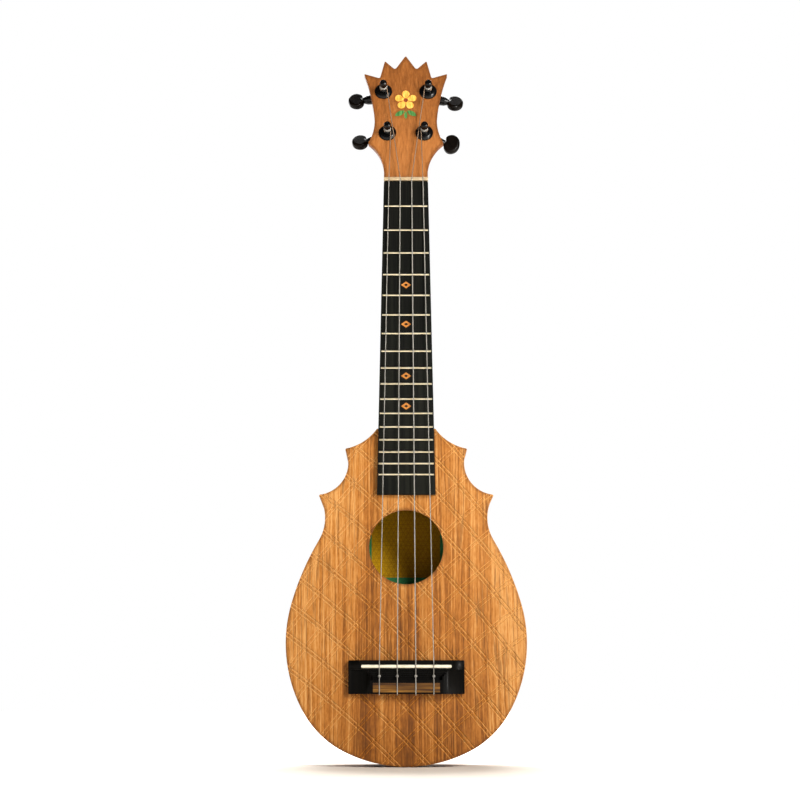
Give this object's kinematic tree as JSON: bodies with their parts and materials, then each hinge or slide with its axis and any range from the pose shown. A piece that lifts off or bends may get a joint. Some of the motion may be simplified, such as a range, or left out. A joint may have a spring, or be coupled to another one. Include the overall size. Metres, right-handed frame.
{
  "type": "ukulele",
  "caption": "Small fretted string instrument with a spiked pear-shaped hollow body, a crowned headstock and geared tuners that turn the string posts.",
  "frame": {"origin": "nut line on the centre line in the glue plane, which is the neck's flat top and the soundboard's outer face", "axes": "+Z along the neck towards the headstock, +Y from front to back, +X to the right seen from the front"},
  "size_m": [0.1806, 0.071, 0.5727],
  "materials": {
    "top_wood": "satin",
    "body_wood": "satin",
    "block_wood": "raw",
    "brace_wood": "raw",
    "label_paper": "matte",
    "neck_wood": "satin",
    "head_wood": "satin",
    "petal_wood": "satin",
    "eye_wood": "satin",
    "leaf_wood": "satin",
    "bone": "satin",
    "fretboard_wood": "satin",
    "fret_wire": "polished",
    "marker_wood": "satin",
    "bridge_wood": "gloss",
    "inlay_wood": "satin",
    "string_nylon": "gloss",
    "tuner_black": "gloss",
    "black_screws": "satin",
    "button_black": "gloss",
    "gear_brass": "machined"
  },
  "bodies": {
    "root": {"soundboard": "top_wood", "back_plate": "body_wood", "rib_left": "body_wood", "rib_right": "body_wood", "corner_blocks": "block_wood", "neck_block": "block_wood", "tail_block": "block_wood", "top_linings": "brace_wood", "back_linings": "brace_wood", "top_braces": "brace_wood", "fan_braces": "brace_wood", "bridge_plate": "block_wood", "back_braces": "brace_wood", "back_seam_strip": "brace_wood", "paper_label": "label_paper", "neck_dowels": "block_wood", "neck": "neck_wood", "headstock_veneer": "head_wood", "flower_petals": "petal_wood", "flower_eye": "eye_wood", "flower_leaves": "leaf_wood", "nut": "bone", "fretboard": "fretboard_wood", "frets": "fret_wire", "fret_markers": "marker_wood", "bridge": "bridge_wood", "saddle": "bone", "tie_block_inlay": "inlay_wood", "string_1": "string_nylon", "string_2": "string_nylon", "string_3": "string_nylon", "string_4": "string_nylon", "tuner_bushings": "tuner_black", "tuner_washers": "tuner_black", "tuner_covers": "tuner_black", "tuner_mounting_screws": "black_screws", "tuner_housing_upper_left": "tuner_black", "tuner_housing_lower_left": "tuner_black", "tuner_housing_lower_right": "tuner_black", "tuner_housing_upper_right": "tuner_black"},
    "button_upper_left": {"tuner_worm_upper_left": "tuner_black", "tuner_button_upper_left": "button_black"},
    "post_upper_left": {"tuner_post_upper_left": "tuner_black", "tuner_gear_upper_left": "gear_brass", "string_winding_upper_left": "string_nylon"},
    "button_lower_left": {"tuner_worm_lower_left": "tuner_black", "tuner_button_lower_left": "button_black"},
    "post_lower_left": {"tuner_post_lower_left": "tuner_black", "tuner_gear_lower_left": "gear_brass", "string_winding_lower_left": "string_nylon"},
    "button_lower_right": {"tuner_worm_lower_right": "tuner_black", "tuner_button_lower_right": "button_black"},
    "post_lower_right": {"tuner_post_lower_right": "tuner_black", "tuner_gear_lower_right": "gear_brass", "string_winding_lower_right": "string_nylon"},
    "button_upper_right": {"tuner_worm_upper_right": "tuner_black", "tuner_button_upper_right": "button_black"},
    "post_upper_right": {"tuner_post_upper_right": "tuner_black", "tuner_gear_upper_right": "gear_brass", "string_winding_upper_right": "string_nylon"}
  },
  "joints": [
    {"name": "button_turn_upper_left", "type": "hinge", "parent": "root", "child": "button_upper_left", "pos_m": [-0.01926, 0.02888, 0.08728], "axis": [-0.9877, -0.0218, -0.1549], "continuous": true},
    {"name": "post_turn_upper_left", "type": "hinge", "parent": "root", "child": "post_upper_left", "pos_m": [-0.0184, 0.0103, 0.08441], "axis": [0, -0.9903, 0.1392], "continuous": true},
    {"name": "button_turn_lower_left", "type": "hinge", "parent": "root", "child": "button_lower_left", "pos_m": [-0.01586, 0.0234, 0.04827], "axis": [-0.9877, -0.0218, -0.1549], "continuous": true},
    {"name": "post_turn_lower_left", "type": "hinge", "parent": "root", "child": "post_lower_left", "pos_m": [-0.015, 0.00482, 0.04539], "axis": [0, -0.9903, 0.1392], "continuous": true},
    {"name": "button_turn_lower_right", "type": "hinge", "parent": "root", "child": "button_lower_right", "pos_m": [0.01633, 0.02338, 0.04817], "axis": [0.9703, -0.0337, -0.2396], "continuous": true},
    {"name": "post_turn_lower_right", "type": "hinge", "parent": "root", "child": "post_lower_right", "pos_m": [0.015, 0.00482, 0.04539], "axis": [0, -0.9903, 0.1392], "continuous": true},
    {"name": "button_turn_upper_right", "type": "hinge", "parent": "root", "child": "button_upper_right", "pos_m": [0.01973, 0.02887, 0.08719], "axis": [0.9703, -0.0337, -0.2396], "continuous": true},
    {"name": "post_turn_upper_right", "type": "hinge", "parent": "root", "child": "post_upper_right", "pos_m": [0.0184, 0.0103, 0.08441], "axis": [0, -0.9903, 0.1392], "continuous": true}
  ],
  "couplings": [
    {"joint": "post_turn_upper_left", "follows": "button_turn_upper_left", "ratio": 0.071429},
    {"joint": "post_turn_lower_left", "follows": "button_turn_lower_left", "ratio": 0.071429},
    {"joint": "post_turn_lower_right", "follows": "button_turn_lower_right", "ratio": 0.071429},
    {"joint": "post_turn_upper_right", "follows": "button_turn_upper_right", "ratio": 0.071429}
  ]
}
